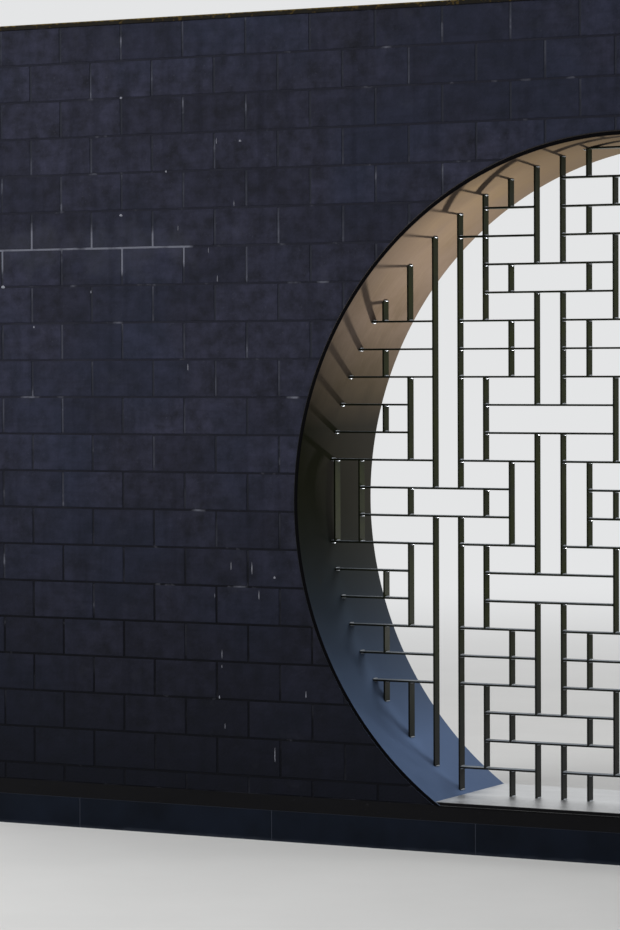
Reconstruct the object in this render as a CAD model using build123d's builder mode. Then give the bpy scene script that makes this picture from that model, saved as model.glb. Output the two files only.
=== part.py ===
import os
from math import asin, cos, degrees, radians, sin, sqrt

from build123d import *

# Moon gate: a thick wall of painted concrete blocks, a rolled steel ring set in a round
# opening, and a welded lattice of flat bars that closes it. All sizes are in millimetres.
# X runs along the wall, Y through it, Z up. The front looks towards -Y, and the origin is
# on the underside of the tiled base, below the centre of the ring.

# Wall of blocks, laid in courses
wall_length = 8000
wall_thickness = 850
course_height = 206
full_courses = 20
footing_course_height = 95
capping_bed = 19

# Tiled base that stands in the water, and the dark band on it. The middle length of each
# runs on past both feet of the ring by the bearing.
tiled_base_height = 168
band_height = 83
base_bearing = 220

# Steel ring that lines the opening
ring_inner_radius = 1912
ring_plate = 22
ring_proud = 10
ring_segment_count = 8
ring_fit = 0.3

# Steel sill plate between the feet of the ring
sill_thickness = 20

# Lattice of flat bars on edge, on a square grid that fills the ring. Each half has so many
# uprights, the axis lies midway between the two halves, and the ring's centre lies half a
# step below the upper rows. The outer upright and the lowest row stand off by the margins.
half_column_count = 13
upper_row_count = 14
row_count = 24
ring_margin = 37
sill_margin = 142
bar_thickness = 10
bar_depth = 60
lattice_forward = 45
weld_fit = 0.3

# Folded sheet capping
capping_sheet = 3
capping_lip = 22
capping_clearance = 2
capping_fold_radius = 4
capping_joint_from_centre = 2440
capping_joint_gap = 2

# The lattice's grid, which follows from the ring
axis_column = half_column_count - 1 / 2
axis_row = upper_row_count - 1 / 2
last_row = row_count - 1
grid_pitch = (ring_inner_radius - ring_margin) / axis_column

# Heights and radii that follow
wall_bottom = tiled_base_height + band_height
sill_top = wall_bottom + sill_thickness
ring_centre = sill_top + sill_margin + (last_row - axis_row) * grid_pitch
ring_outer_radius = ring_inner_radius + ring_plate
opening_radius = ring_outer_radius + ring_fit
ring_depth = wall_thickness + 2 * ring_proud
ring_foot = sqrt(ring_outer_radius**2 - (ring_centre - wall_bottom) ** 2)
base_joint = ring_foot + base_bearing
first_bed = wall_bottom + footing_course_height
wall_top = first_bed + full_courses * course_height + capping_bed

os.makedirs("parts", exist_ok=True)


def save(piece, name):
    piece.part.label = name
    export_step(piece.part, f"parts/{name}.step")


def bed_joint(course):
    """Height of the bed joint on top of a number of full courses."""
    return first_bed + course * course_height


def block_wall(name, side, z_from, z_to):
    """One side of the wall between two heights, cut to the round opening."""
    with BuildPart() as piece:
        with BuildSketch(Plane.XZ):
            with Locations((side * wall_length / 4, (z_from + z_to) / 2)):
                Rectangle(wall_length / 2, z_to - z_from)
            with Locations((0, ring_centre)):
                Circle(opening_radius, mode=Mode.SUBTRACT)
        extrude(amount=wall_thickness / 2, both=True)
    save(piece, name)


def base_length(name, x_from, x_to, z_from, height):
    """One length of the tiled base or of the band on it."""
    with BuildPart() as piece:
        with Locations((x_from, 0, z_from)):
            Box(x_to - x_from, wall_thickness, height, align=(Align.MIN, Align.CENTER, Align.MIN))
    save(piece, name)


def ring_segment(name, start, arc):
    """A rolled plate about the ring's axis. The feet of the ring are cut level on the band."""
    radial = Plane(
        origin=(0, 0, ring_centre),
        x_dir=(cos(radians(start)), 0, sin(radians(start))),
        z_dir=(-sin(radians(start)), 0, cos(radians(start))),
    )
    with BuildPart() as piece:
        with BuildSketch(radial):
            with Locations((ring_inner_radius + ring_plate / 2, 0)):
                Rectangle(ring_plate, ring_depth)
        revolve(axis=Axis((0, 0, ring_centre), (0, -1, 0)), revolution_arc=arc)
        split(bisect_by=Plane.XY.offset(wall_bottom), keep=Keep.TOP)
    save(piece, name)


def capping_length(name, x_from, x_to):
    """A sheet folded down over both faces of the wall, seated on the bed of mortar."""
    inside = wall_thickness + 2 * capping_clearance
    with BuildPart() as piece:
        with BuildSketch(Plane.YZ.offset(x_from)):
            with Locations((0, wall_top + capping_sheet)):
                Rectangle(inside + 2 * capping_sheet, capping_sheet + capping_lip, align=(Align.CENTER, Align.MAX))
            fillet(vertices().group_by(Axis.Y)[-1], capping_fold_radius)
            with Locations((0, wall_top)):
                Rectangle(inside, capping_lip, align=(Align.CENTER, Align.MAX), mode=Mode.SUBTRACT)
        extrude(amount=x_to - x_from)
    save(piece, name)


# Lattice pattern
# Columns are counted from the left side of the ring and rows from its crown, one grid
# pitch apart. The right half mirrors the left. A bar that runs on past these limits ends
# on the ring or on the sill.
steps_beyond = 3
beyond_side = -steps_beyond
beyond_crown = -steps_beyond
beyond_sill = last_row + steps_beyond

uprights = {
    0: [(12, 15)],
    1: [(12, 15)],
    2: [(beyond_crown, 7), (8, 9), (10, 11), (16, 17), (18, 19), (20, beyond_sill)],
    3: [(beyond_crown, 7), (9, 12), (13, 14), (15, 18), (20, beyond_sill)],
    4: [(beyond_crown, 13), (14, beyond_sill)],
    5: [(beyond_crown, 13), (14, beyond_sill)],
    6: [(beyond_crown, 7), (9, 12), (13, 14), (15, 18), (20, 23)],
    7: [(beyond_crown, 3), (5, 6), (7, 9), (12, 15), (18, 20), (21, 22), (23, beyond_sill)],
    8: [(beyond_crown, 5), (6, 10), (11, 16), (17, 21), (22, beyond_sill)],
    9: [(beyond_crown, 5), (6, 10), (11, 16), (17, 21), (22, beyond_sill)],
    10: [(beyond_crown, 2), (3, 4), (5, 6), (7, 9), (12, 15), (18, 20), (21, 22), (23, beyond_sill)],
    11: [(2, 3), (4, 7), (9, 12), (13, 14), (15, 18), (20, 23)],
    12: [(beyond_crown, 13), (14, beyond_sill)],
}
three_runs = [(beyond_side, 4), (5, 8), (9, 12)]
two_runs = [(beyond_side, 3), (6, 11)]
middle_rails = [(1, 7), (10, 15)]
rails = {
    1: [(10, 12)],
    2: [(9, 12)],
    3: [(6, 8), (9, 12)],
    4: [(5, 8), (9, 12)],
    5: [(6, 11)],
    6: [(6, 11)],
    7: three_runs,
    8: three_runs,
    9: three_runs,
    10: two_runs,
    11: two_runs,
    12: three_runs,
    13: middle_rails,
    14: middle_rails,
    15: three_runs,
    16: two_runs,
    17: two_runs,
    18: three_runs,
    19: three_runs,
    20: three_runs,
    21: [(6, 11)],
    22: [(6, 11)],
    23: [(5, 8), (9, 12)],
}


def column_x(column):
    return (column - axis_column) * grid_pitch


def row_z(row):
    return ring_centre + (axis_row - row) * grid_pitch


def lattice_bars():
    """Every bar as its centre and its size in the plane of the lattice."""
    bars = []
    for side in (1, -1):
        for column, runs in uprights.items():
            for first, last in runs:
                middle = (row_z(first) + row_z(last)) / 2
                length = row_z(first) - row_z(last) + bar_thickness
                bars.append((side * column_x(column), middle, bar_thickness, length))
        for row, runs in rails.items():
            for first, last in runs:
                middle = (column_x(first) + column_x(last)) / 2
                length = column_x(last) - column_x(first) + bar_thickness
                bars.append((side * middle, row_z(row), length, bar_thickness))
    return bars


def lattice_panel(name, x_from, x_to):
    """The bars between two upright cuts, fused where they meet, cut to the ring and the sill."""
    width = x_to - x_from
    crown = ring_centre + ring_inner_radius
    with BuildPart() as piece:
        with BuildSketch(Plane.XZ.offset(lattice_forward)):
            for x, z, size_x, size_z in lattice_bars():
                if x + size_x / 2 > x_from and x - size_x / 2 < x_to:
                    with Locations((x, z)):
                        Rectangle(size_x, size_z)
            with Locations(((x_from + x_to) / 2, sill_top)):
                Rectangle(width, crown - sill_top, align=(Align.CENTER, Align.MIN), mode=Mode.INTERSECT)
            with Locations((0, ring_centre)):
                Circle(ring_inner_radius - weld_fit, mode=Mode.INTERSECT)
        extrude(amount=bar_depth / 2, both=True)
    save(piece, name)


# Tiled base and dark band
for place, x_from, x_to in (
    ("left", -wall_length / 2, -base_joint),
    ("middle", -base_joint, base_joint),
    ("right", base_joint, wall_length / 2),
):
    base_length(f"tiled_base_{place}", x_from, x_to, 0, tiled_base_height)
    base_length(f"band_{place}", x_from, x_to, tiled_base_height, band_height)

# Wall, split along its bed joints beside and over the opening
lower_courses = 4
middle_courses = 7
upper_courses = 4
lower_split = bed_joint(lower_courses)
middle_split = bed_joint(lower_courses + middle_courses)
upper_split = bed_joint(lower_courses + middle_courses + upper_courses)
for side, place in ((-1, "left"), (1, "right")):
    block_wall(f"footing_course_{place}", side, wall_bottom, first_bed)
    block_wall(f"wall_lower_{place}", side, first_bed, lower_split)
    block_wall(f"wall_middle_{place}", side, lower_split, middle_split)
    block_wall(f"wall_upper_{place}", side, middle_split, upper_split)
    block_wall(f"wall_crown_{place}", side, upper_split, wall_top)

# Steel ring, in equal rolled plates from the right foot over the crown to the left foot
foot_angle = degrees(asin((ring_centre - wall_bottom) / ring_inner_radius))
ring_arc = (180 + 2 * foot_angle) / ring_segment_count
for number in range(ring_segment_count):
    ring_segment(f"ring_plate_{number + 1}", number * ring_arc - foot_angle, ring_arc)

# Sill plate, its ends cut to the inside of the ring
with BuildPart() as sill_plate:
    with BuildSketch(Plane.XZ):
        with Locations((0, wall_bottom)):
            Rectangle(2 * ring_inner_radius, sill_thickness, align=(Align.CENTER, Align.MIN))
        with Locations((0, ring_centre)):
            Circle(ring_inner_radius - ring_fit, mode=Mode.INTERSECT)
    extrude(amount=ring_depth / 2, both=True)
save(sill_plate, "sill_plate")

# Lattice, cut midway between two uprights into three panels
middle_panel_columns = 4
panel_cut = middle_panel_columns * grid_pitch
lattice_panel("lattice_left", -ring_inner_radius, -panel_cut)
lattice_panel("lattice_middle", -panel_cut, panel_cut)
lattice_panel("lattice_right", panel_cut, ring_inner_radius)

# Capping, in four lengths
half_gap = capping_joint_gap / 2
capping_length("capping_left_end", -wall_length / 2, -capping_joint_from_centre - half_gap)
capping_length("capping_left", -capping_joint_from_centre + half_gap, -half_gap)
capping_length("capping_right", half_gap, capping_joint_from_centre - half_gap)
capping_length("capping_right_end", capping_joint_from_centre + half_gap, wall_length / 2)
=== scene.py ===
import math
import random

import bmesh
import bpy
from mathutils import Matrix, Vector


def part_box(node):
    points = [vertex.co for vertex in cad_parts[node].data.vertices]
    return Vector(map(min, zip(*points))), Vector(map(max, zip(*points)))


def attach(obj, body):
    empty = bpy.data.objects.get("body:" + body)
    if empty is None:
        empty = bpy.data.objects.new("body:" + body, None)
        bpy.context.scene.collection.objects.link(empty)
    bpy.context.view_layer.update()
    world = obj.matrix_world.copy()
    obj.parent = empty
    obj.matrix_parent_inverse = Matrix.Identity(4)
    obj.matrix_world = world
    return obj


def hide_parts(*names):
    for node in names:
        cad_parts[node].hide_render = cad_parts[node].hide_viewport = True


# Moon gate: a wall of painted blocks on a tiled base, a steel ring round its opening, and a
# lattice of flat bars in the ring
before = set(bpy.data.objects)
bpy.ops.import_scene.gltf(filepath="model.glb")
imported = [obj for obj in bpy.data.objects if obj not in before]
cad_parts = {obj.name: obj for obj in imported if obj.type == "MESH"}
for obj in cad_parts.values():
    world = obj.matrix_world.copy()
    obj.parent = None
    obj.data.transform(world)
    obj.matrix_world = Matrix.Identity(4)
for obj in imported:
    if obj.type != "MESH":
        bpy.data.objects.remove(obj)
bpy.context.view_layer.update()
print("frame loaded")


# Helpers shared by the trees and the materials

def linear(hexColour):  # sRGB hex to linear
    parts = [int(hexColour[i:i + 2], 16) / 255 for i in (1, 3, 5)]
    return [c / 12.92 if c <= 0.04045 else ((c + 0.055) / 1.055) ** 2.4 for c in parts] + [1.0]


def perSize(millimetres):  # texture scale whose features have that size
    return 1000 / millimetres


# The kinds of node used most
maths, mix, vectors = "ShaderNodeMath", "ShaderNodeMix", "ShaderNodeVectorMath"
span, noise = "ShaderNodeMapRange", "ShaderNodeTexNoise"
axes, combine = "ShaderNodeSeparateXYZ", "ShaderNodeCombineXYZ"
transform, randomly = "GeometryNodeTransform", "FunctionNodeRandomValue"


def addNode(tree, kind, links=(), **settings):  # one node, its inputs in order or by name or number
    node = tree.nodes.new(kind)
    for name, value in settings.items():
        setattr(node, name, value)
    for socket, source in links.items() if isinstance(links, dict) else enumerate(links):
        if isinstance(source, bpy.types.Node):
            source = source.outputs[0]
        if isinstance(source, bpy.types.NodeSocket):
            tree.links.new(source, node.inputs[socket])
        else:
            node.inputs[socket].default_value = source
    return node


def startTree(name, sockets):  # a Geometry Nodes tree with named inputs, listed by kind
    tree = bpy.data.node_groups.new(name, "GeometryNodeTree")
    tree.interface.new_socket("Geometry", in_out="OUTPUT", socket_type="NodeSocketGeometry")
    for kind, titles in sockets.items():
        for title in titles:
            tree.interface.new_socket(title, in_out="INPUT", socket_type="NodeSocket" + kind)
    return tree, tree.nodes.new("NodeGroupInput").outputs


def endTree(tree, shape, material):  # every tree ends in real geometry with its material
    real = addNode(tree, "GeometryNodeRealizeInstances", (shape,))
    painted = addNode(tree, "GeometryNodeSetMaterial", {"Geometry": real, "Material": material})
    addNode(tree, "NodeGroupOutput", (painted,))


def addObject(name, data):
    item = bpy.data.objects.new(name, data)
    bpy.context.scene.collection.objects.link(item)
    return item


def growPiece(name, tree, values, start=None):  # runs a tree once and keeps its result as a mesh
    piece = addObject(name, start or bpy.data.meshes.new(name))
    build = piece.modifiers.new("build", "NODES")
    build.node_group = tree
    for item in tree.interface.items_tree:
        if item.in_out == "INPUT" and item.socket_type != "NodeSocketGeometry":
            build[item.identifier] = values[item.name]
    graph = bpy.context.evaluated_depsgraph_get()
    mesh = bpy.data.meshes.new_from_object(piece.evaluated_get(graph))
    piece.modifiers.clear()
    piece.data = mesh
    mesh.name = name
    return piece


def meshPiece(name, shape, material):  # a bmesh made into a piece
    mesh = bpy.data.meshes.new(name)
    shape.to_mesh(mesh)
    shape.free()
    mesh.materials.append(material)
    return addObject(name, mesh)


def settle(piece, slotName, *nodes):
    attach(piece, "root")
    if nodes:
        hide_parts(*nodes)
    return piece


# Places read from the frame, in metres, and what the part's source adds to them
plateCount, plateThickness, openingFit, lowerCourses = 8, 0.022, 0.0003, 4
ringNodes = [f"ring_plate_{n + 1}" for n in range(plateCount)]
ringBoxes = [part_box(node) for node in ringNodes]
ringOuter = max(high.x for low, high in ringBoxes)
ringInner = ringOuter - plateThickness
ringDepth = ringBoxes[0][1].y - ringBoxes[0][0].y
ringHeight = max(high.z for low, high in ringBoxes) - ringOuter
openingRadius = ringOuter + openingFit
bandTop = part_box("band_left")[1].z
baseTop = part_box("tiled_base_left")[1].z
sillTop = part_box("sill_plate")[1].z
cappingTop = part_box("capping_left")[1].z
lowerLow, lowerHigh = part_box("wall_lower_left")
wallFace, firstBed = lowerHigh.y, lowerLow.z
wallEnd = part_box("wall_lower_right")[1].x
courseHeight = (lowerHigh.z - firstBed) / lowerCourses
latticeFront, latticeBack = [corner.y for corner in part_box("lattice_middle")]

# Camera at the photograph's angle, in metres and degrees, for an image of 620 by 930
cameraFit = {
    "place": (6.757, -16.641, 2.599), "turn": (88.265, 0.246, 27.925), "focalPixels": 3418,
    "imageHeight": 930, "sensor": 36,
}
cameraData = bpy.data.cameras.new("photoCamera")
cameraData.sensor_width = cameraFit["sensor"]
cameraData.lens = cameraFit["focalPixels"] * cameraFit["sensor"] / cameraFit["imageHeight"]
camera = addObject("photoCamera", cameraData)
camera.location = cameraFit["place"]
camera.rotation_euler = [math.radians(a) for a in cameraFit["turn"]]
bpy.context.scene.camera = camera
bpy.context.scene.view_settings.view_transform = "Standard"
print("camera placed")


# Materials. Sizes are in millimetres, heights and distances in metres. A coat is one more colour:
# it grows from nothing at "from" to its share at "to", and in clouds of "size" where it has one.

cloudSpread = (0.3, 0.7)  # nearly all of a noise lies between these values
edgeOn = {"from": 0.7, "to": 0.98}  # how squarely an edge faces the front or the back


def layer(tree, mask, colour):  # one more colour, a hex value or a socket, over what is there
    base = tree.nodes["Principled BSDF"].inputs["Base Color"]
    over = addNode(tree, mix, {
        0: mask, 6: base.links[0].from_socket,
        7: linear(colour) if isinstance(colour, str) else colour}, data_type="RGBA")
    tree.links.new(over.outputs[2], base)


def coat(tree, value, look):  # a coat that follows a value
    mask = addNode(tree, span, (value, look["from"], look["to"], 0.0, look["share"]))
    layer(tree, mask, look["colour"])


def blotches(tree, place, look, detail=3.0):  # a coat in clouds
    cloud = addNode(tree, noise, {
        "Vector": place, "Scale": perSize(look["size"]), "Detail": detail})
    coat(tree, cloud, look)


def startMaterial(name, look):  # mottled colour, broken gloss and fine relief, from one dictionary
    material = bpy.data.materials.new(name)
    material.use_nodes = True
    tree = material.node_tree
    shader = tree.nodes["Principled BSDF"]
    shader.inputs["Metallic"].default_value = look.get("metallic", 0.0)
    shader.inputs["Specular IOR Level"].default_value = look.get("specular", 0.5)
    place = addNode(tree, "ShaderNodeTexCoord").outputs["Object"]
    drawn = addNode(tree, "ShaderNodeMapping", {
        "Vector": place, "Scale": look.get("drawn", (1, 1, 1))})
    cloud = addNode(tree, noise, {
        "Vector": drawn, "Scale": perSize(look["cloud"]), "Detail": 6.0, "Roughness": 0.62})
    spread = addNode(tree, span, (cloud, *cloudSpread))
    body = addNode(tree, mix, {
        0: spread, 6: linear(look["deep"]), 7: linear(look["pale"])}, data_type="RGBA")
    tree.links.new(body.outputs[2], shader.inputs["Base Color"])
    blotches(tree, place, look["speck"], 2.0)
    gloss = addNode(tree, span, (cloud, *cloudSpread, *look["rough"]))
    tree.links.new(gloss.outputs[0], shader.inputs["Roughness"])
    grain = addNode(tree, noise, {"Vector": drawn, "Scale": perSize(look["grain"]), "Detail": 3.0})
    relief = addNode(tree, "ShaderNodeBump", {
        "Height": grain, "Strength": look["relief"],
        "Distance": look.get("reliefDepth", 1.0) / 1000})
    tree.links.new(relief.outputs[0], shader.inputs["Normal"])
    return material, tree, place


def faceTurn(tree):  # how far a face looks to the front or the back, and how far up
    normal = addNode(tree, "ShaderNodeTexCoord").outputs["Normal"]
    facing = addNode(tree, axes, (normal,))
    across = addNode(tree, maths, (facing.outputs["Y"],), operation="ABSOLUTE")
    return across, facing.outputs["Z"]


def shadedRim(tree, hexColour, metal):  # painted shade on the front and back edges of a plate
    rimMask = addNode(tree, span, (faceTurn(tree)[0], edgeOn["from"], edgeOn["to"]))
    layer(tree, rimMask, hexColour)
    painted = addNode(tree, maths, (1.0, rimMask), operation="SUBTRACT")
    metalOffRim = addNode(tree, maths, (painted, metal), operation="MULTIPLY")
    tree.links.new(metalOffRim.outputs[0], tree.nodes["Principled BSDF"].inputs["Metallic"])


def paintedBlock():  # masonry paint rolled on dense block: matt and gritty, no two quite alike
    look = {
        "deep": "#1c1d25", "pale": "#333444", "cloud": 80, "rough": (0.72, 0.86),
        "specular": 0.06, "grain": 14, "relief": 0.9, "reliefDepth": 3.0,
        "speck": {"colour": "#41434d", "size": 12, "from": 0.68, "to": 0.74, "share": 0.4},
        "patch": {"colour": "#232a3c", "size": 700, "from": 0.45, "to": 0.65, "share": 0.4},
        "brush": {"colour": "#17181f", "size": 26, "from": 0.5, "to": 0.7, "share": 0.22},
        "brushDrawn": (0.12, 0.12, 1),
        "tone": {"colour": "#15161d", "from": 0.0, "to": 1.0, "share": 0.42},
        "streak": {"colour": "#0a0c12", "size": 70, "from": 0.5, "to": 0.75, "share": 0.3},
        "streakDrawn": (1, 1, 0.06),
        "lowShade": {"colour": "#0a0c12", "from": 2.2, "to": 0.2, "share": 0.9},
        "bedJoint": "#1f2029", "headJoint": "#272931", "bedReach": (0.007, 0.011),
        "lowJointShade": "#0b0c11", "highFrom": (1.2, 2.6),
        "haze": "#3d3f49", "hazeSize": 260, "hazeFrom": (0.5, 0.66),
        "hazeLowest": 0.25, "hazeOnBeds": 0.1,
        "lime": "#62646f", "limeSize": 130, "limeFrom": (0.62, 0.82), "limeLift": 0.34,
        "limePlace": (-3.33, -0.42, 3.236), "limeReach": (1.15, 0.3, 0.21), "limeFade": (1.0, 0.4),
        "wash": {"colour": "#4b4d58", "from": 0.62, "to": 0.9, "share": 0.14},
    }
    material, tree, place = startMaterial("paintedBlock", look)
    height = addNode(tree, axes, (place,)).outputs["Z"]
    tone = addNode(tree, "ShaderNodeAttribute", attribute_name="blockTone").outputs["Fac"]
    joint = addNode(tree, "ShaderNodeAttribute", attribute_name="joint").outputs["Fac"]
    rolled = addNode(tree, "ShaderNodeMapping", {"Vector": place, "Scale": look["brushDrawn"]})
    hung = addNode(tree, "ShaderNodeMapping", {"Vector": place, "Scale": look["streakDrawn"]})
    blotches(tree, place, look["patch"])
    blotches(tree, rolled, look["brush"])
    coat(tree, tone, look["tone"])
    blotches(tree, hung, look["streak"])
    # Painted shade: the wall darker towards the bottom
    coat(tree, height, look["lowShade"])

    # Joints: dark mortar with painted shade: bed joints darker than head joints, and all of them
    # darker low on the wall
    # The bed joints stand for the shade under each block, the low ones for the shade in their
    # recesses; the paler head joints are painted light catching them
    overBed = addNode(tree, maths, (height, firstBed), operation="SUBTRACT")
    fromBed = addNode(tree, maths, (overBed, courseHeight / 2), operation="PINGPONG")
    headMask = addNode(tree, span, (fromBed, *look["bedReach"]))
    highMask = addNode(tree, span, (height, *look["highFrom"]))
    jointAbove = addNode(tree, mix, {
        0: headMask, 6: linear(look["bedJoint"]), 7: linear(look["headJoint"])}, data_type="RGBA")
    jointColour = addNode(tree, mix, {
        0: highMask, 6: linear(look["lowJointShade"]), 7: jointAbove.outputs[2]}, data_type="RGBA")
    layer(tree, joint, jointColour.outputs[2])

    # Pale haze in the upper joints, mostly in the head joints
    haze = addNode(tree, noise, {
        "Vector": place, "Scale": perSize(look["hazeSize"]), "Detail": 4.0})
    hazeShare = addNode(tree, span, {"Value": highMask, 3: look["hazeLowest"]})
    hazeMask = addNode(tree, span, (haze, *look["hazeFrom"], 0.0, hazeShare))
    headShare = addNode(tree, span, {"Value": headMask, 3: look["hazeOnBeds"]})
    jointShare = addNode(tree, maths, (headShare, joint), operation="MULTIPLY")
    hazeJoint = addNode(tree, maths, (hazeMask, jointShare), operation="MULTIPLY")
    layer(tree, hazeJoint, look["haze"])

    # Lime washed out of one bed joint, with a little of it on the blocks beside it
    blotch = addNode(tree, noise, {
        "Vector": place, "Scale": perSize(look["limeSize"]), "Detail": 4.0})
    offset = addNode(tree, vectors, (place, look["limePlace"]), operation="SUBTRACT")
    reach = addNode(tree, vectors, (offset, look["limeReach"]), operation="DIVIDE")
    away = addNode(tree, vectors, (reach,), operation="LENGTH").outputs["Value"]
    near = addNode(tree, span, (away, *look["limeFade"], 0.0, look["limeLift"]))
    blotchNear = addNode(tree, maths, (blotch, near), operation="ADD")
    coat(tree, blotchNear, look["wash"])
    limeMask = addNode(tree, span, (blotchNear, *look["limeFrom"]))
    limeJoint = addNode(tree, maths, (limeMask, joint), operation="MULTIPLY")
    layer(tree, limeJoint, look["lime"])
    return material


def tileMaterial():  # glazed pool tile, blue-grey: faint clouds, soft gloss, pale grout, lime
    look = {
        "deep": "#030812", "pale": "#08101d", "cloud": 260, "rough": (0.4, 0.55),
        "specular": 0.08, "grain": 30, "relief": 0.1, "grout": "#30343e",
        "speck": {"colour": "#2b313d", "size": 9, "from": 0.72, "to": 0.78, "share": 0.4},
        "scale": {"colour": "#2a2f38", "from": 0.034, "to": 0.02, "share": 0.5},
        "scaleSize": 90, "scaleWave": 0.03,
    }
    material, tree, place = startMaterial("glazedPoolTile", look)
    height = addNode(tree, axes, (place,)).outputs["Z"]
    wave = addNode(tree, noise, {
        "Vector": place, "Scale": perSize(look["scaleSize"]), "Detail": 4.0})
    line = addNode(tree, maths, (wave, look["scaleWave"], height), operation="MULTIPLY_ADD")
    coat(tree, line, look["scale"])
    joint = addNode(tree, "ShaderNodeAttribute", attribute_name="joint").outputs["Fac"]
    layer(tree, joint, look["grout"])
    return material


def ringMaterial():  # rolled steel with a thin oxide film: dull reflections, mill marks round it, painted light in its colours
    look = {
        "deep": "#62564e", "pale": "#807168", "cloud": 300, "rough": (0.48, 0.58),
        "specular": 0.015, "sheen": "#b2a999", "grain": 12, "relief": 0.05,
        "speck": {"colour": "#2a1d10", "size": 16, "from": 0.76, "to": 0.82, "share": 0.6},
        "mark": {"colour": "#8e8071", "size": 16, "from": 0.5, "to": 0.8, "share": 0.25},
        "markDrawn": 0.05,
        "crown": {"colour": "#403730", "from": 1.25, "to": 1.8, "share": 0.6},
        "middle": "#161c0e", "middleFrom": (1.0, 0.4), "middleShare": 0.95,
        "lower": "#64799c", "lowerFrom": (0.45, -1.3), "lowerPower": 3.4,
        "bareAbove": 0.5, "bareMiddle": 0.3, "bareBelow": 0.55, "rim": "#08080a",
    }
    material, tree, place = startMaterial("oxidisedRolledSteel", look)
    tree.nodes["Principled BSDF"].inputs["Specular Tint"].default_value = linear(look["sheen"])
    parts = addNode(tree, axes, (place,))
    rise = addNode(tree, maths, (parts.outputs["Z"], ringHeight), operation="SUBTRACT")
    turn = addNode(tree, maths, (parts.outputs["X"], rise), operation="ARCTAN2")
    along = addNode(tree, maths, (turn, ringInner * look["markDrawn"]), operation="MULTIPLY")
    rolled = addNode(tree, combine, (along, parts.outputs["Y"]))
    blotches(tree, rolled, look["mark"])
    # Painted light by height: the warm body colour above is painted bounce light, the crown is
    # darker as painted shade, the middle is a painted dark olive reflection and the bottom a
    # painted reflection of the blue sky
    coat(tree, rise, look["crown"])
    paintedOliveReflection = addNode(tree, span, (rise, *look["middleFrom"], 0.0, look["middleShare"]))
    layer(tree, paintedOliveReflection, look["middle"])
    drop = addNode(tree, span, (rise, *look["lowerFrom"]))
    paintedSkyReflection = addNode(tree, maths, (drop, look["lowerPower"]), operation="POWER")
    layer(tree, paintedSkyReflection, look["lower"])
    upperMetal = addNode(tree, mix, {0: paintedOliveReflection, 2: look["bareAbove"], 3: look["bareMiddle"]})
    metal = addNode(tree, mix, {0: paintedSkyReflection, 2: upperMetal, 3: look["bareBelow"]})
    shadedRim(tree, look["rim"], metal)
    return material


def sillMaterial():  # the same plate, painted brighter as the sunlight on it, with fine scratches
    look = {
        "deep": "#c3c4c5", "pale": "#dddedf", "cloud": 160, "drawn": (0.35, 1, 1),
        "rough": (0.34, 0.5), "metallic": 1.0, "specular": 0.05,
        "grain": 8, "relief": 0.12, "rim": "#09090b",
        "speck": {"colour": "#6d675c", "size": 18, "from": 0.7, "to": 0.76, "share": 0.5},
    }
    material, tree, place = startMaterial("sunlitSteelPlate", look)
    shadedRim(tree, look["rim"], look["metallic"])
    return material


def barMaterial():  # cold-drawn flat bar, oiled: olive-black, dark front and back faces as painted shade, pale tops that are dust and a painted highlight
    look = {
        "deep": "#1d2107", "pale": "#30350f", "cloud": 140, "rough": (0.42, 0.56),
        "specular": 0.045, "grain": 10, "relief": 0.1, "reliefDepth": 0.6,
        "speck": {"colour": "#3a3a30", "size": 10, "from": 0.7, "to": 0.76, "share": 0.5},
        "lower": {"colour": "#2e2e32", "from": 1.4, "to": 0.5, "share": 0.75},
        "edge": {"colour": "#0a0c0f", **edgeOn, "share": 0.75},
        "dust": {"colour": "#868e97", "from": 0.3, "to": 0.7, "share": 0.85},
    }
    material, tree, place = startMaterial("oiledFlatBar", look)
    height = addNode(tree, axes, (place,)).outputs["Z"]
    across, upward = faceTurn(tree)
    # greyer lower down; the dark front and back faces are painted shade, the pale tops dust with a
    # painted highlight on them
    for value, name in ((height, "lower"), (across, "edge"), (upward, "dust")):
        coat(tree, value, look[name])
    return material


def cappingMaterial():  # folded weathering sheet, brown-black: lichen and dust on its upper fold
    look = {
        "deep": "#0a0804", "pale": "#151006", "cloud": 120, "rough": (0.55, 0.72),
        "specular": 0.08, "grain": 9, "relief": 0.3,
        "speck": {"colour": "#4a3a14", "size": 30, "from": 0.6, "to": 0.66, "share": 0.6},
        "dust": "#665525", "dustSize": 24, "dustWave": 0.02, "dustTop": (0.003, 0.009),
        "crustSize": 160, "crustDrawn": 4.0, "crustFrom": (1.9, 2.25), "crustShare": (0.15, 0.9),
    }
    material, tree, place = startMaterial("weatheredCappingSheet", look)
    parts = addNode(tree, axes, (place,))
    dust = addNode(tree, noise, {
        "Vector": place, "Scale": perSize(look["dustSize"]), "Detail": 3.0})
    line = addNode(tree, maths, (dust, look["dustWave"], parts.outputs["Z"]),
                   operation="MULTIPLY_ADD")
    onTop = addNode(tree, span, (line, *(cappingTop + d for d in look["dustTop"])))
    across = addNode(tree, maths, (parts.outputs["Y"],), operation="ABSOLUTE")
    crust = addNode(tree, noise, {
        "Vector": place, "Scale": perSize(look["crustSize"]), "Detail": 5.0})
    fromFold = addNode(tree, maths, (across, look["crustDrawn"], crust), operation="MULTIPLY_ADD")
    broken = addNode(tree, span, (fromFold, *look["crustFrom"], *look["crustShare"]))
    dustMask = addNode(tree, maths, (onTop, broken), operation="MULTIPLY")
    layer(tree, dustMask, look["dust"])
    return material


blockPaint = paintedBlock()
poolTile = tileMaterial()
ringSteel = ringMaterial()
sillSteel = sillMaterial()
barSteel = barMaterial()
cappingSheet = cappingMaterial()

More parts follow.
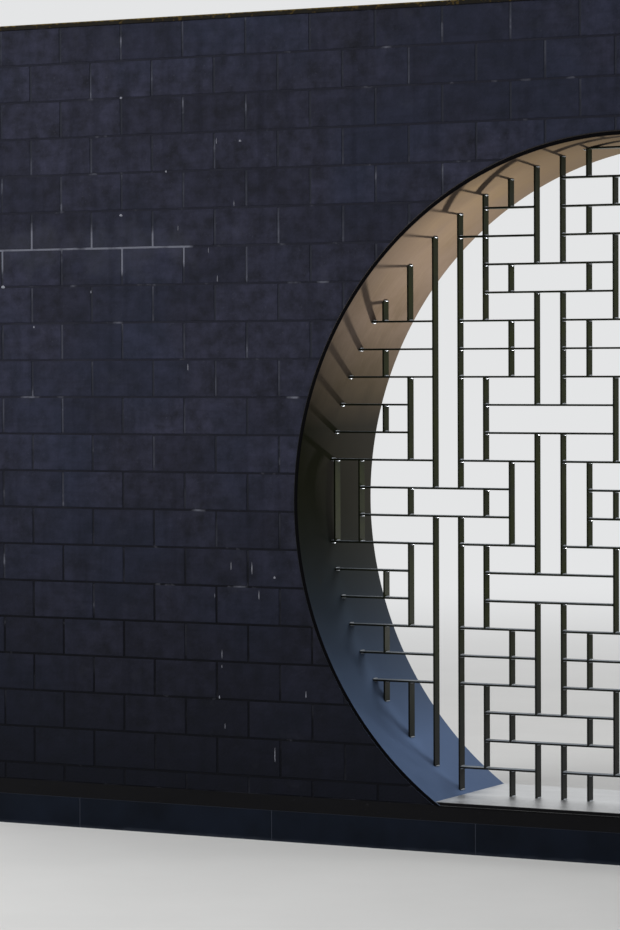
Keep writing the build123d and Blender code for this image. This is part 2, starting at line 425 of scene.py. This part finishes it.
# Trowelled waterproof render, near black: smooth with faint trowel marks and some lime
bandRender = startMaterial("trowelledRender", {
    "deep": "#050507", "pale": "#0b0b0e", "cloud": 180, "drawn": (0.3, 0.3, 1),
    "rough": (0.55, 0.7), "specular": 0.08, "grain": 22, "relief": 0.25, "reliefDepth": 1.5,
    "speck": {"colour": "#26262b", "size": 14, "from": 0.68, "to": 0.74, "share": 0.4},
})[0]

# Bare stainless weld metal: rippled, and bright partly as a painted glint of light catching the
# beads
weldMetal = startMaterial("weldBead", {
    "deep": "#73777c", "pale": "#9a9ea3", "cloud": 12, "rough": (0.25, 0.4),
    "metallic": 1.0, "grain": 5, "relief": 0.4,
    "speck": {"colour": "#4c4a45", "size": 6, "from": 0.66, "to": 0.72, "share": 0.6},
})[0]

# Tooled black joint sealant: rubbery, a little dusty, its black standing partly for the shade in
# the joint
sealant = startMaterial("jointSealant", {
    "deep": "#08080a", "pale": "#101012", "cloud": 60, "rough": (0.5, 0.65),
    "specular": 0.15, "grain": 14, "relief": 0.3,
    "speck": {"colour": "#33322f", "size": 12, "from": 0.7, "to": 0.76, "share": 0.3},
})[0]

# Lime crust left by rain: chalky and matt
limeCrust = startMaterial("limeCrust", {
    "deep": "#5d5f69", "pale": "#8b8d96", "cloud": 20, "rough": (0.8, 0.9),
    "specular": 0.2, "grain": 4, "relief": 0.4, "reliefDepth": 0.6,
    "speck": {"colour": "#5b5d66", "size": 5, "from": 0.6, "to": 0.66, "share": 0.5},
})[0]
print("materials made")


# Running bond, by rule: blocks or tiles on two opposite faces, over a core that shows as the
# joints. Blocks that the round opening meets are cut to it, and so is the core.

def bondTree():
    tree, given = startTree("runningBond", {
        "Object": ["Mould"], "Bool": ["Round Opening"], "Vector": ["Core Size", "Core Place"],
        "Material": ["Material"],
        "Int": ["First Column", "Columns", "First Course", "Courses", "Seed"],
        "Float": ["Mould Length", "Mould Height", "First Bed", "Course Height", "Module",
                  "Bond Offset", "Joint", "Shortest", "Even From", "Even To", "Odd From", "Odd To",
                  "Face Spacing", "Unevenness", "Tilt", "Opening Radius", "Opening Height",
                  "Block Reach"],
    })
    store = "GeometryNodeStoreNamedAttribute"
    seed, rise = given["Seed"], given["Course Height"]
    radius, blockReach = given["Opening Radius"], given["Block Reach"]

    # Which face, course and column a point stands for
    index = addNode(tree, "GeometryNodeInputIndex")
    perFace = addNode(tree, maths, (given["Columns"], given["Courses"]), operation="MULTIPLY")
    count = addNode(tree, maths, (perFace, 2), operation="MULTIPLY")
    faceShare = addNode(tree, maths, (index, perFace), operation="DIVIDE")
    face = addNode(tree, maths, (faceShare,), operation="FLOOR")
    spot = addNode(tree, maths, (index, perFace), operation="FLOORED_MODULO")
    columnStep = addNode(tree, maths, (spot, given["Columns"]), operation="FLOORED_MODULO")
    column = addNode(tree, maths, (columnStep, given["First Column"]), operation="ADD")
    courseShare = addNode(tree, maths, (spot, given["Columns"]), operation="DIVIDE")
    courseStep = addNode(tree, maths, (courseShare,), operation="FLOOR")
    course = addNode(tree, maths, (courseStep, given["First Course"]), operation="ADD")

    # Its block, from joint to joint, every other course half a module on, cut at both ends
    odd = addNode(tree, maths, (course, 2), operation="FLOORED_MODULO")
    shifted = addNode(tree, maths, (column, given["Bond Offset"]), operation="SUBTRACT")
    lapped = addNode(tree, maths, (odd, 0.5, shifted), operation="MULTIPLY_ADD")
    left = addNode(tree, maths, (lapped, given["Module"]), operation="MULTIPLY")
    right = addNode(tree, maths, (left, given["Module"]), operation="ADD")
    edges = []
    for edge, way, order in ((left, "From", 1), (right, "To", -1)):
        limit = addNode(tree, mix, {0: odd, 2: given["Even " + way], 3: given["Odd " + way]})
        room = addNode(tree, maths, (edge, limit)[::order], operation="SUBTRACT")
        isCut = addNode(tree, maths, (room, given["Shortest"]), operation="LESS_THAN")
        edges.append(addNode(tree, mix, {0: isCut, 2: edge, 3: limit}))
    start, end = edges
    width = addNode(tree, maths, (end, start), operation="SUBTRACT")
    centre = addNode(tree, maths, (width, 0.5, start), operation="MULTIPLY_ADD")
    bed = addNode(tree, maths, (course, rise, given["First Bed"]), operation="MULTIPLY_ADD")
    height = addNode(tree, maths, (rise, 0.5, bed), operation="MULTIPLY_ADD")
    least = addNode(tree, maths, (given["Unevenness"], -1), operation="MULTIPLY")
    wobble = addNode(tree, randomly, {2: least, 3: given["Unevenness"], "Seed": seed})
    faceSide = addNode(tree, maths, (face, 0.5), operation="SUBTRACT")
    depth = addNode(tree, maths, (faceSide, given["Face Spacing"], wobble.outputs[1]),
                    operation="MULTIPLY_ADD")
    place = addNode(tree, combine, (centre, depth, height))
    blockLength = addNode(tree, maths, (width, given["Joint"]), operation="SUBTRACT")
    blockHeight = addNode(tree, maths, (rise, given["Joint"]), operation="SUBTRACT")
    lengthScale = addNode(tree, maths, (blockLength, given["Mould Length"]), operation="DIVIDE")
    heightScale = addNode(tree, maths, (blockHeight, given["Mould Height"]), operation="DIVIDE")
    scale = addNode(tree, combine, (lengthScale, 1.0, heightScale))

    # Whether the round opening meets it or takes it away
    flatPlace = addNode(tree, combine, (centre, 0.0, height))
    openingCentre = addNode(tree, combine, {2: given["Opening Height"]})
    away = addNode(tree, vectors, (flatPlace, openingCentre), operation="DISTANCE").outputs[1]
    clearRadius = addNode(tree, maths, (radius, blockReach), operation="SUBTRACT")
    inOpening = addNode(tree, maths, (away, clearRadius), operation="LESS_THAN")
    tooShort = addNode(tree, maths, (width, given["Shortest"]), operation="LESS_THAN")
    unwanted = addNode(tree, maths, (inOpening, tooShort), operation="MAXIMUM")
    cutRound = addNode(tree, maths, (away, radius, blockReach), operation="COMPARE")
    tone = addNode(tree, randomly, {2: 0.0, 3: 1.0, "Seed": seed}).outputs[1]

    # A point for each block, and a copy of the mould on each that is left. Those that the opening
    # meets come first, because only they and the core are cut.
    points = addNode(tree, "GeometryNodePoints", {"Count": count, "Position": place})
    saved = {}
    for title, value, kind in (("blockTone", tone, "FLOAT"), ("blockScale", scale, "FLOAT_VECTOR"),
                               ("cutRound", cutRound, "FLOAT")):
        points = addNode(tree, store, {0: points, "Name": title, "Value": value},
                         data_type=kind, domain="POINT")
        saved[title] = addNode(tree, "GeometryNodeInputNamedAttribute", {"Name": title},
                               data_type=kind)
    kept = addNode(tree, "GeometryNodeDeleteGeometry", (points, unwanted), domain="POINT")
    parted = addNode(tree, "GeometryNodeSeparateGeometry", (kept, saved["cutRound"]),
                     domain="POINT")
    mould = addNode(tree, "GeometryNodeObjectInfo", (given["Mould"],)).outputs["Geometry"]
    tiltBack = addNode(tree, maths, (given["Tilt"], -1), operation="MULTIPLY")
    tilt = addNode(tree, randomly, {0: tiltBack, 1: given["Tilt"], "Seed": seed},
                   data_type="FLOAT_VECTOR")
    laid = []
    for half in parted.outputs:
        copies = addNode(tree, "GeometryNodeInstanceOnPoints", {
            "Points": half, "Instance": mould, "Rotation": tilt, "Scale": saved["blockScale"]})
        real = addNode(tree, "GeometryNodeRealizeInstances", (copies,))
        laid.append(addNode(tree, store, {  # one tone for a whole face, also where it is cut
            0: real, "Name": "blockTone", "Value": saved["blockTone"]},
            data_type="FLOAT", domain="FACE"))
    core = addNode(tree, "GeometryNodeMeshCube", {"Size": given["Core Size"]})
    corePlaced = addNode(tree, transform, {0: core, "Translation": given["Core Place"]})
    cutter = addNode(tree, "GeometryNodeMeshCylinder", {
        "Vertices": 256, "Radius": radius, "Depth": 2.0})  # deeper than the wall
    cutterTurned = addNode(tree, transform, {
        0: cutter, "Translation": openingCentre, "Rotation": (math.pi / 2, 0, 0)})
    chosen = []
    for shape in (laid[0], corePlaced):
        cut = addNode(tree, "GeometryNodeMeshBoolean", (shape, cutterTurned),
                      operation="DIFFERENCE", solver="EXACT")
        chosen.append(addNode(tree, "GeometryNodeSwitch", {
            "Switch": given["Round Opening"], "False": shape, "True": cut},
            input_type="GEOMETRY"))
    coreMarked = addNode(tree, store, {0: chosen[1], "Name": "joint", "Value": 1.0},
                         data_type="FLOAT", domain="FACE")
    joined = addNode(tree, "GeometryNodeJoinGeometry")
    for shape in (laid[1], chosen[0], coreMarked):
        tree.links.new(shape.outputs[0], joined.inputs[0])
    cleaned = joined
    for spare in ("blockScale", "cutRound"):
        cleaned = addNode(tree, "GeometryNodeRemoveAttribute", {0: cleaned, "Name": spare})
    endTree(tree, cleaned, given["Material"])
    return tree


def makeMould(name, size):  # one bevelled block or tile at the origin, removed after use
    shape = bmesh.new()
    bmesh.ops.create_cube(shape, size=1)
    bmesh.ops.scale(shape, vec=(size["module"] - size["joint"], size["depth"],
                                size["courseHeight"] - size["joint"]), verts=shape.verts)
    bmesh.ops.bevel(shape, geom=shape.edges[:], offset=size["arris"], segments=1, affect="EDGES")
    return meshPiece(name, shape, size["material"])


def layBond(name, size, mould, reach, bedZero, firstCourse, courses, **changes):
    xFrom, xTo = reach  # one stretch of bond, between two places along the wall
    joint, module, height = size["joint"], size["module"], size["courseHeight"]
    shortest, beyond, margin = 0.03, -9.0, 0.01  # the least cut block, and a height out of reach
    inside = 0.1  # a core that isn't wanted is a crumb so far inside the wall
    values = {
        "Mould": mould, "Mould Length": module - joint, "Mould Height": height - joint,
        "First Column": math.floor(xFrom / module + size["bondOffset"]) - 1,
        "Columns": math.ceil((xTo - xFrom) / module) + 2,
        "First Course": firstCourse, "Courses": courses, "First Bed": bedZero,
        "Course Height": height, "Module": module, "Bond Offset": size["bondOffset"],
        "Joint": joint, "Shortest": shortest,
        "Even From": xFrom, "Even To": xTo, "Odd From": xFrom, "Odd To": xTo,
        "Face Spacing": 2 * wallFace - size["depth"],
        "Unevenness": size["unevenness"], "Tilt": size["tilt"], "Seed": size["seed"],
        "Round Opening": size["roundOpening"], "Opening Radius": openingRadius,
        "Opening Height": ringHeight if size["roundOpening"] else beyond,
        "Block Reach": math.hypot(module, height) / 2 + margin,
        "Core Size": (margin, margin, margin),
        "Core Place": (xFrom + inside, 0.0, bedZero + inside), "Material": size["material"],
    }
    return growPiece(name, bond, {**values, **changes})


def turnToEnd(piece):  # a stretch laid along X becomes the two end faces
    piece.data.transform(Matrix.Rotation(math.pi / 2, 4, "Z"))


# Painted blocks, laid over a core that shows as the joint
blockwork = {
    "courseHeight": courseHeight, "module": 0.393, "bondOffset": 9.163, "joint": 0.010,
    "jointDepth": 0.0028, "depth": 0.1965, "arris": 0.003, "unevenness": 0.0006, "tilt": 0.003,
    "seed": 0, "roundOpening": True, "endModule": 0.457, "endInset": 0.0015, "endSeed": 40,
    "material": blockPaint,
}
bond = bondTree()
blockMould = makeMould("blockMould", blockwork)
blockHeight = blockwork["courseHeight"] - blockwork["joint"]
wallPieces = {}
for part in ("footing", "lower", "middle", "upper"):
    node = "footing_course_" if part == "footing" else f"wall_{part}_"
    for side in ("left", "right"):
        wallPieces[f"blocks_{part}_{side}"] = [node + side]
wallPieces["blocks_crown"] = ["wall_crown_left", "wall_crown_right"]
halfJoint = blockwork["joint"] / 2
quoin = blockwork["depth"] + blockwork["joint"]  # where every other course starts at an end
recess, inset, near, slack = blockwork["jointDepth"], blockwork["endInset"], 0.001, 0.01
for number, (name, nodes) in enumerate(wallPieces.items()):
    low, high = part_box(nodes[0])[0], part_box(nodes[-1])[1]
    size = dict(blockwork, seed=blockwork["seed"] + number)
    atLeft, atRight = low.x < near - wallEnd, high.x > wallEnd - near
    if "footing" in name:  # one cut course under the first bed
        size["courseHeight"] = high.z - low.z
        bedZero, firstCourse, courses = high.z, -1, 1
    else:
        bedZero, firstCourse = firstBed, round((low.z - firstBed) / courseHeight)
        courses = math.floor((high.z - low.z) / courseHeight + slack)
    xFrom = low.x + inset - halfJoint if atLeft else 0.0
    xTo = high.x - inset + halfJoint if atRight else 0.0
    coreFrom, coreTo = (low.x + recess if atLeft else 0.0), (high.x - recess if atRight else 0.0)
    piece = layBond(name, size, blockMould, (xFrom, xTo), bedZero, firstCourse, courses, **{
        "Mould Height": blockHeight,
        "Odd From": xFrom + (quoin if atLeft else 0.0),
        "Odd To": xTo - (quoin if atRight else 0.0),
        "Core Size": (coreTo - coreFrom, 2 * (wallFace - recess), high.z - low.z),
        "Core Place": ((coreFrom + coreTo) / 2, 0.0, (low.z + high.z) / 2),
    })
    settle(piece, "painted_block", *nodes)

# The wall's ends, bonded into the faces
endSpacing = 2 * (wallEnd - inset)
endReach = (-wallFace - halfJoint, wallFace + halfJoint)
inner = wallFace - blockwork["depth"] - halfJoint
crumbAt, crumbUp = wallEnd - 0.05, 0.02  # keep the core of an end piece inside the wall
for name, height, firstCourse, courses in (
    ("blocks_ends", courseHeight, 0, 20),
    ("blocks_footing_ends", firstBed - bandTop, -1, 1),
):
    size = dict(blockwork, courseHeight=height, module=blockwork["endModule"], bondOffset=0.5,
                seed=blockwork["endSeed"], roundOpening=False)
    piece = layBond(name, size, blockMould, endReach, firstBed, firstCourse, courses, **{
        "Mould Length": blockwork["module"] - blockwork["joint"], "Mould Height": blockHeight,
        "Even From": -inner, "Even To": inner,
        "Face Spacing": endSpacing - blockwork["depth"],
        "Core Place": (0.0, crumbAt, firstBed + crumbUp),
    })
    turnToEnd(piece)
    settle(piece, "painted_block")
bpy.data.objects.remove(blockMould)
print("blocks laid")

# Large tiles on the base, with grout showing as a pale line between them and under the band
tiling = {
    "courseHeight": baseTop, "module": 1.22, "bondOffset": 0.711, "joint": 0.005,
    "jointDepth": 0.002, "depth": 0.012, "arris": 0.001, "unevenness": 0.0003, "tilt": 0.0003,
    "seed": 60, "roundOpening": False, "material": poolTile,
}
tileMould = makeMould("tileMould", tiling)
halfGrout = tiling["joint"] / 2
grout = tiling["jointDepth"]
tileEnd = wallEnd - inset + halfGrout
piece = layBond("base_tiles", tiling, tileMould, (-tileEnd, tileEnd), 0.0, 0, 1, **{
    "Core Size": (2 * (wallEnd - grout), 2 * (wallFace - grout), baseTop),
    "Core Place": (0.0, 0.0, baseTop / 2),
})
settle(piece, "pool_tile", "tiled_base_left", "tiled_base_middle", "tiled_base_right")
endFrom = wallFace - tiling["depth"] - halfGrout
endTiling = dict(tiling, bondOffset=0.5)
piece = layBond("base_end_tiles", endTiling, tileMould, (-endFrom, endFrom), 0.0, 0, 1, **{
    "Face Spacing": endSpacing - tiling["depth"],
    "Core Place": (0.0, crumbAt, baseTop / 2),
})
turnToEnd(piece)
settle(piece, "pool_tile")
bpy.data.objects.remove(tileMould)
print("tiles set")


# The ring and the sealant beside it, swept along the opening's arc and cut level on the band

def sweptRingTree():
    tree, given = startTree("sweptRing", {
        "Float": ["Arc Radius", "Foot Angle", "Width", "Thickness", "Corner", "Depth Place",
                  "Centre Height", "Level"],
        "Int": ["Corner Steps", "Steps"], "Material": ["Material"],
    })
    spare = 0.05  # the arc runs on past its foot by a spare angle
    footAngle = addNode(tree, maths, (given["Foot Angle"], spare), operation="ADD")
    startAngle = addNode(tree, maths, (footAngle, -1.0), operation="MULTIPLY")
    sweep = addNode(tree, maths, (footAngle, 2.0, math.pi), operation="MULTIPLY_ADD")
    arc = addNode(tree, "GeometryNodeCurveArc", {
        "Resolution": given["Steps"], "Radius": given["Arc Radius"],
        "Start Angle": startAngle, "Sweep Angle": sweep}, mode="RADIUS")
    plate = addNode(tree, "GeometryNodeCurvePrimitiveQuadrilateral", {
        "Width": given["Thickness"], "Height": given["Width"]})
    rounded = addNode(tree, "GeometryNodeFilletCurve", {
        "Curve": plate, "Radius": given["Corner"], "Count": given["Corner Steps"]}, mode="POLY")
    swept = addNode(tree, "GeometryNodeCurveToMesh", {
        "Curve": arc, "Profile Curve": rounded, "Fill Caps": True})
    place = addNode(tree, combine, {1: given["Depth Place"], 2: given["Centre Height"]})
    turned = addNode(tree, transform, {
        0: swept, "Translation": place, "Rotation": (math.pi / 2, 0, 0)})
    under = addNode(tree, "GeometryNodeMeshCube", {"Size": (8.0, 2.0, 2.0)})
    drop = addNode(tree, maths, (given["Level"], 1.0), operation="SUBTRACT")  # its top is level
    underPlace = addNode(tree, combine, {2: drop})
    underPlaced = addNode(tree, transform, {0: under, "Translation": underPlace})
    levelled = addNode(tree, "GeometryNodeMeshBoolean", (turned, underPlaced),
                       operation="DIFFERENCE", solver="EXACT")
    endTree(tree, levelled, given["Material"])
    return tree


def sweepRing(name, size, arcRadius, depthPlace, material):
    piece = growPiece(name, sweptRing, {
        **size, "Arc Radius": arcRadius, "Depth Place": depthPlace, "Material": material,
        "Foot Angle": math.asin((ringHeight - bandTop) / arcRadius),
        "Centre Height": ringHeight, "Level": bandTop,
    })
    piece.data.shade_smooth()
    piece.data.set_sharp_from_angle(angle=math.radians(creaseAngle))
    return piece


sweptRing = sweptRingTree()
creaseAngle = 20
plateLine = {"Width": ringDepth, "Thickness": plateThickness, "Corner": 0.002, "Corner Steps": 3,
             "Steps": 300}
piece = sweepRing("ring_plates", plateLine, ringOuter - plateThickness / 2, 0.0, ringSteel)
settle(piece, "ring_steel", *ringNodes)
# The black bead stands partly for the shade in the joint round the ring
beadLine = {"Width": 0.010, "Thickness": 0.008, "Corner": 0.0039, "Corner Steps": 2, "Steps": 240}
beadOut = 0.001  # how far the bead's middle lies outside the ring
for face, side in (("front", -1), ("back", 1)):
    piece = sweepRing("sealant_" + face, beadLine, ringOuter + beadOut, side * wallFace, sealant)
    settle(piece, "ring_steel")
print("ring swept")

# The bars and the sill
easing = {"arris": 0.0018, "steps": 2, "sharp": 40, "flat": 0.5, "merge": 0.00002}


def softened(name, node, material, slotName):  # a CAD node's own shape, its arrises eased
    shape = bmesh.new()
    shape.from_mesh(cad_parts[node].data)
    bmesh.ops.remove_doubles(shape, verts=shape.verts, dist=easing["merge"])
    bmesh.ops.dissolve_limit(shape, angle_limit=math.radians(easing["flat"]),
                             verts=shape.verts, edges=shape.edges)
    sharp = [e for e in shape.edges
             if e.is_manifold and e.calc_face_angle(0.0) > math.radians(easing["sharp"])]
    bmesh.ops.bevel(shape, geom=sharp, offset=easing["arris"], segments=easing["steps"],
                    profile=0.5, clamp_overlap=True, affect="EDGES")
    return settle(meshPiece(name, shape, material), slotName, node)


for part in ("left", "middle", "right"):
    softened("bars_" + part, "lattice_" + part, barSteel, "lattice_bar")
softened("sill_flat", "sill_plate", sillSteel, "ring_steel")
print("bars eased")

# Weld beads, and the lattice's pattern as in the part: columns are counted from the ring's left
# and rows from its crown, one grid step apart, and the right half mirrors the left. A run from
# -3 or to 26 goes on to the ring or the sill.
welds = {
    "axisColumn": 12.5, "axisRow": 13.5, "margin": 0.037, "bar": 0.010,
    "beadRadius": 0.0045, "fromBar": 0.35, "fromRing": 0.003, "fromSill": 0.001, "seed": 7,
    "uprights": [  # columns, and their runs from row to row
        ((0, 1), [(12, 15)]),
        ((2,), [(-3, 7), (8, 9), (10, 11), (16, 17), (18, 19), (20, 26)]),
        ((3,), [(-3, 7), (9, 12), (13, 14), (15, 18), (20, 26)]),
        ((4, 5, 12), [(-3, 13), (14, 26)]),
        ((6,), [(-3, 7), (9, 12), (13, 14), (15, 18), (20, 23)]),
        ((7,), [(-3, 3), (5, 6), (7, 9), (12, 15), (18, 20), (21, 22), (23, 26)]),
        ((8, 9), [(-3, 5), (6, 10), (11, 16), (17, 21), (22, 26)]),
        ((10,), [(-3, 2), (3, 4), (5, 6), (7, 9), (12, 15), (18, 20), (21, 22), (23, 26)]),
        ((11,), [(2, 3), (4, 7), (9, 12), (13, 14), (15, 18), (20, 23)]),
    ],
    "rails": [  # rows, and their runs from column to column
        ((1,), [(10, 12)]), ((2,), [(9, 12)]), ((3,), [(6, 8), (9, 12)]),
        ((4, 23), [(5, 8), (9, 12)]), ((5, 6, 21, 22), [(6, 11)]),
        ((7, 8, 9, 12, 15, 18, 19, 20), [(-3, 4), (5, 8), (9, 12)]),
        ((10, 11, 16, 17), [(-3, 3), (6, 11)]), ((13, 14), [(1, 7), (10, 15)]),
    ],
}


def weldSeams():  # the corners where two bars meet, and where a bar meets the ring or the sill
    step = (ringInner - welds["margin"]) / welds["axisColumn"]
    uprights, rails, seams = set(), set(), set()

    def across(side, column):
        return side * (column - welds["axisColumn"]) * step

    def upTo(row):
        return round(ringHeight + (welds["axisRow"] - row) * step, 4)

    for side in (1, -1):
        for columns, runs in welds["uprights"]:
            uprights |= {(round(across(side, column), 4), upTo(last), upTo(first))
                         for column in columns for first, last in runs}
        for rows, runs in welds["rails"]:
            rails |= {(upTo(row), *(round(x, 4) for x in sorted(across(side, c) for c in run)))
                      for row in rows for run in runs}
    inside = ringInner - 0.012  # a crossing nearer to the ring has no room for beads
    near = 0.002
    for x, low, high in uprights:
        for z, left, right in rails:
            if not (left - near < x < right + near and low - near < z < high + near):
                continue
            if math.hypot(x, z - ringHeight) > inside or z < sillTop:
                continue
            for sideX, hasX in ((-1, left < x - near), (1, right > x + near)):
                for sideZ, hasZ in ((-1, low < z - near), (1, high > z + near)):
                    if hasX and hasZ:
                        seams.add((round(x, 3), round(z, 3), sideX, sideZ))
    offset = welds["bar"] / 2 + welds["beadRadius"] * welds["fromBar"]
    points = [(x + sideX * offset, z + sideZ * offset) for x, z, sideX, sideZ in sorted(seams)]
    gap = welds["fromRing"]
    for x, low, high in sorted(uprights):
        reach = math.sqrt(ringInner ** 2 - x ** 2)
        lean = 0.5 * x * welds["bar"] / reach
        if high > ringHeight + reach:
            points += [(x + s * offset, ringHeight + reach - gap - s * lean) for s in (-1, 1)]
        if low < ringHeight - reach and ringHeight - reach > sillTop:
            points += [(x + s * offset, ringHeight - reach + gap + s * lean) for s in (-1, 1)]
        elif low < sillTop:
            points += [(x + s * offset, sillTop + welds["fromSill"]) for s in (-1, 1)]
    for z, left, right in sorted(rails):
        reach = math.sqrt(max(ringInner ** 2 - (z - ringHeight) ** 2, 0.0))
        lean = 0.5 * (z - ringHeight) * welds["bar"] / reach
        if left < -reach:
            points += [(-reach + gap + s * lean, z + s * offset) for s in (-1, 1)]
        if right > reach:
            points += [(reach - gap - s * lean, z + s * offset) for s in (-1, 1)]
    return points


def weldTree():
    tree, given = startTree("weldBeads", {
        "Geometry": ["Seams"], "Float": ["Length", "Radius"], "Int": ["Seed"],
        "Material": ["Material"],
    })
    least = addNode(tree, combine, (0.8, 0.8, 0.86))
    most = addNode(tree, combine, (1.2, 1.2, 1.0))
    size = addNode(tree, randomly, {0: least, 1: most, "Seed": given["Seed"]},
                   data_type="FLOAT_VECTOR")
    bead = addNode(tree, "GeometryNodeMeshUVSphere", {"Segments": 6, "Rings": 4, "Radius": 1.0})
    stretch = addNode(tree, combine, (given["Radius"], given["Radius"], given["Length"]))
    drawn = addNode(tree, transform, {0: bead, "Scale": stretch})
    laid = addNode(tree, "GeometryNodeInstanceOnPoints", {
        "Points": given["Seams"], "Instance": drawn, "Scale": size,
        "Rotation": (math.pi / 2, 0, 0)})
    real = addNode(tree, "GeometryNodeRealizeInstances", (laid,))
    smooth = addNode(tree, "GeometryNodeSetShadeSmooth", (real,))
    endTree(tree, smooth, given["Material"])
    return tree


seamMesh = bpy.data.meshes.new("weldSeams")
seamDepth = (latticeFront + latticeBack) / 2
seamMesh.from_pydata([(x, seamDepth, z) for x, z in weldSeams()], [], [])
piece = growPiece("lattice_welds", weldTree(), {
    "Length": (latticeBack - latticeFront) / 2, "Radius": welds["beadRadius"],
    "Seed": welds["seed"], "Material": weldMetal,
}, seamMesh)
settle(piece, "lattice_bar")
print("welds laid")

# Lime runs left by rain on the front. Each run is its place along the wall, its height, its
# length and its width, in millimetres.
lime = {
    "sides": 12, "seed": 11, "sunk": 0.0005, "proud": 0.0012, "shoulder": 0.55, "lift": 0.0004,
    "runs": [
        (-2406, 3052, 34, 7), (-2594, 2572, 40, 7), (-2200, 1480, 70, 7), (-2330, 1490, 44, 7),
        (-2157, 1335, 52, 7), (-2389, 1005, 50, 7), (-1871, 803, 40, 8), (-2063, 470, 75, 7),
        (-2432, 1325, 40, 6), (-3016, 3410, 13, 28), (-2652, 3332, 30, 6), (-3792, 3026, 18, 34),
        (-2390, 938, 16, 7), (-3011, 4057, 14, 22), (-2726, 3643, 12, 12), (-2261, 3795, 12, 20),
        (-2408, 3800, 36, 6), (-2300, 3457, 32, 6), (-2461, 3208, 30, 6), (-3212, 2990, 16, 12),
        (-3588, 2799, 14, 14), (-2060, 1432, 16, 18), (-2372, 612, 30, 6), (-2406, 770, 20, 10),
        (2210, 2140, 40, 7), (3130, 1620, 50, 7), (2870, 3380, 30, 7), (3560, 2730, 44, 7),
        (2480, 910, 36, 7), (1390, 4020, 26, 7),
    ],
}


def limePiece():
    draw = random.Random(lime["seed"])
    shape = bmesh.new()
    count = lime["sides"]
    for run in lime["runs"]:
        x, z, length, width = [size / 1000 for size in run]
        rings = []
        for share, out in ((1.0, lime["sunk"]), (lime["shoulder"], -lime["proud"])):
            ring = []
            for step in range(count):
                angle = step * math.tau / count
                taper = 0.75 + 0.25 * -math.sin(angle)  # half as wide at its top
                wave = 0.85 + 0.3 * draw.random()
                ring.append(shape.verts.new((
                    x + math.cos(angle) * width / 2 * taper * wave * share,
                    out - wallFace - lime["lift"],
                    z + math.sin(angle) * length / 2 * wave * share)))
            rings.append(ring)
        for step in range(count):
            after = (step + 1) % count
            shape.faces.new((rings[0][step], rings[0][after], rings[1][after], rings[1][step]))
        shape.faces.new(rings[1])
        shape.faces.new(list(reversed(rings[0])))
    bmesh.ops.recalc_face_normals(shape, faces=shape.faces)
    return meshPiece("lime_runs", shape, limeCrust)


settle(limePiece(), "painted_block")
print("lime runs placed")

# Materials on the CAD nodes that stay
for prefix, material in (("band", bandRender), ("capping", cappingSheet)):
    for name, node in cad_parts.items():
        if name.startswith(prefix):
            node.data.materials.clear()
            node.data.materials.append(material)
print("frame dressed")

# Floor, lamps and world
studio = {
    "floorSize": 60, "fade": (6.0, 22.0), "backdrop": "#e4e5e6", "worldLight": 0.6,
}


def seenRays(tree):  # 1 for the rays that show the background: straight, in gloss or through glass
    rays = addNode(tree, "ShaderNodeLightPath")
    seen = rays.outputs["Is Camera Ray"]
    for kind in ("Is Glossy Ray", "Is Transmission Ray"):
        seen = addNode(tree, maths, (seen, rays.outputs[kind]), operation="MAXIMUM")
    return seen


def floorMaterial():  # studio paper: matt, and far off it runs into the backdrop without a line
    look = {
        "deep": "#dcdcdb", "pale": "#e0e0df", "cloud": 900, "rough": (0.9, 0.95),
        "specular": 0.1, "grain": 30, "relief": 0.02, "reliefDepth": 0.5,
        "speck": {"colour": "#dededd", "size": 50, "from": 0.7, "to": 0.76, "share": 0.2},
    }
    material, tree, place = startMaterial("studioPaper", look)
    away = addNode(tree, vectors, (place,), operation="LENGTH").outputs["Value"]
    fade = addNode(tree, span, (away, *studio["fade"]), interpolation_type="SMOOTHSTEP")
    share = addNode(tree, maths, (fade, seenRays(tree)), operation="MULTIPLY")
    glow = addNode(tree, "ShaderNodeEmission", (linear(studio["backdrop"]), 1.0))
    shader = tree.nodes["Principled BSDF"]
    mixed = addNode(tree, "ShaderNodeMixShader", (share, shader, glow))
    tree.links.new(mixed.outputs[0], tree.nodes["Material Output"].inputs["Surface"])
    return material


floorShape = bmesh.new()
bmesh.ops.create_grid(floorShape, x_segments=1, y_segments=1, size=studio["floorSize"])
meshPiece("floor", floorShape, floorMaterial())

world = bpy.data.worlds.new("studio")
bpy.context.scene.world = world
world.use_nodes = True
worldTree = world.node_tree
worldTree.nodes.clear()
lit = addNode(worldTree, "ShaderNodeBackground", ((1, 1, 1, 1), studio["worldLight"]))
shown = addNode(worldTree, "ShaderNodeBackground", (linear(studio["backdrop"]), 1.0))
mixed = addNode(worldTree, "ShaderNodeMixShader", (seenRays(worldTree), lit, shown))
addNode(worldTree, "ShaderNodeOutputWorld", (mixed,))

lamps = {
    "key": {"kind": "AREA", "place": (-10, -9, 8), "aim": (0, 0, 2), "size": 4, "power": 1000},
    "fill": {"kind": "AREA", "place": (9, 8, 8), "aim": (0, 0, 2), "size": 6, "power": 330},
    "bounce": {"kind": "SPOT", "place": (-1.3, 5.0, 0.25), "aim": (-0.7, 0, 3.3), "size": 0.3,
               "power": 750, "cone": 56, "blend": 0.6},
}
for name, lamp in lamps.items():
    data = bpy.data.lights.new(name, lamp["kind"])
    if lamp["kind"] == "SPOT":
        data.spot_size, data.spot_blend = math.radians(lamp["cone"]), lamp["blend"]
        data.shadow_soft_size = lamp["size"] / 2
    else:
        data.size = lamp["size"]
    data.energy = lamp["power"]
    holder = addObject(name, data)
    holder.location = lamp["place"]
    aim = Vector(lamp["aim"]) - Vector(lamp["place"])
    holder.rotation_euler = aim.to_track_quat("-Z", "Y").to_euler()
print("stage set")
